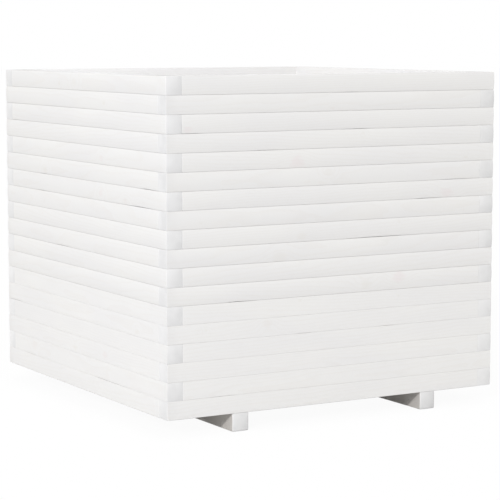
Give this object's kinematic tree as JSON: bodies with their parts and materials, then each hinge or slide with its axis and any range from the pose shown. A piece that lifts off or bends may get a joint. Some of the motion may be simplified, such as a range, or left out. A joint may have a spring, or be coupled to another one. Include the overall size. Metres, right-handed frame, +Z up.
{
  "type": "wooden planter",
  "caption": "Square open timber planter with walls of stacked boards that interlock at the corners, a slatted floor and two skids underneath.",
  "frame": {"origin": "middle of the footprint, on the ground under the skids", "axes": "+Z up, the front wall faces -Y, the left wall faces -X, the skids run along Y"},
  "size_m": [0.9, 0.9, 0.8123],
  "materials": {
    "painted_wall_board": "white paint, satin, thin enough to show the grain and knots of pine",
    "painted_batten": "white paint, satin",
    "painted_skid": "white paint, satin",
    "painted_floor_board": "white paint, satin",
    "screw_steel": "zinc plated"
  },
  "bodies": {
    "root": {"front_boards_1_3": "painted_wall_board", "front_boards_2_4": "painted_wall_board", "front_boards_5_7": "painted_wall_board", "front_boards_6_8": "painted_wall_board", "front_boards_9_11": "painted_wall_board", "front_boards_10_12": "painted_wall_board", "front_boards_13_15_17": "painted_wall_board", "front_boards_14_16_18": "painted_wall_board", "right_boards_1_3": "painted_wall_board", "right_boards_2_4": "painted_wall_board", "right_boards_5_7": "painted_wall_board", "right_boards_6_8": "painted_wall_board", "right_boards_9_11": "painted_wall_board", "right_boards_10_12": "painted_wall_board", "right_boards_13_15_17": "painted_wall_board", "right_boards_14_16_18": "painted_wall_board", "back_boards_1_3": "painted_wall_board", "back_boards_2_4": "painted_wall_board", "back_boards_5_7": "painted_wall_board", "back_boards_6_8": "painted_wall_board", "back_boards_9_11": "painted_wall_board", "back_boards_10_12": "painted_wall_board", "back_boards_13_15_17": "painted_wall_board", "back_boards_14_16_18": "painted_wall_board", "left_boards_1_3": "painted_wall_board", "left_boards_2_4": "painted_wall_board", "left_boards_5_7": "painted_wall_board", "left_boards_6_8": "painted_wall_board", "left_boards_9_11": "painted_wall_board", "left_boards_10_12": "painted_wall_board", "left_boards_13_15_17": "painted_wall_board", "left_boards_14_16_18": "painted_wall_board", "front_batten_left": "painted_batten", "front_batten_right": "painted_batten", "right_batten_left": "painted_batten", "right_batten_right": "painted_batten", "back_batten_left": "painted_batten", "back_batten_right": "painted_batten", "left_batten_left": "painted_batten", "left_batten_right": "painted_batten", "skid_left": "painted_skid", "skid_right": "painted_skid", "floor_board_1": "painted_floor_board", "floor_board_2": "painted_floor_board", "floor_board_3": "painted_floor_board", "floor_board_4": "painted_floor_board", "floor_board_5": "painted_floor_board", "floor_board_6": "painted_floor_board", "floor_board_7": "painted_floor_board", "floor_board_8": "painted_floor_board", "front_wall_screws": "screw_steel", "right_wall_screws": "screw_steel", "back_wall_screws": "screw_steel", "left_wall_screws": "screw_steel", "corner_screws": "screw_steel", "floor_screws": "screw_steel", "skid_screws": "screw_steel"}
  },
  "joints": []
}
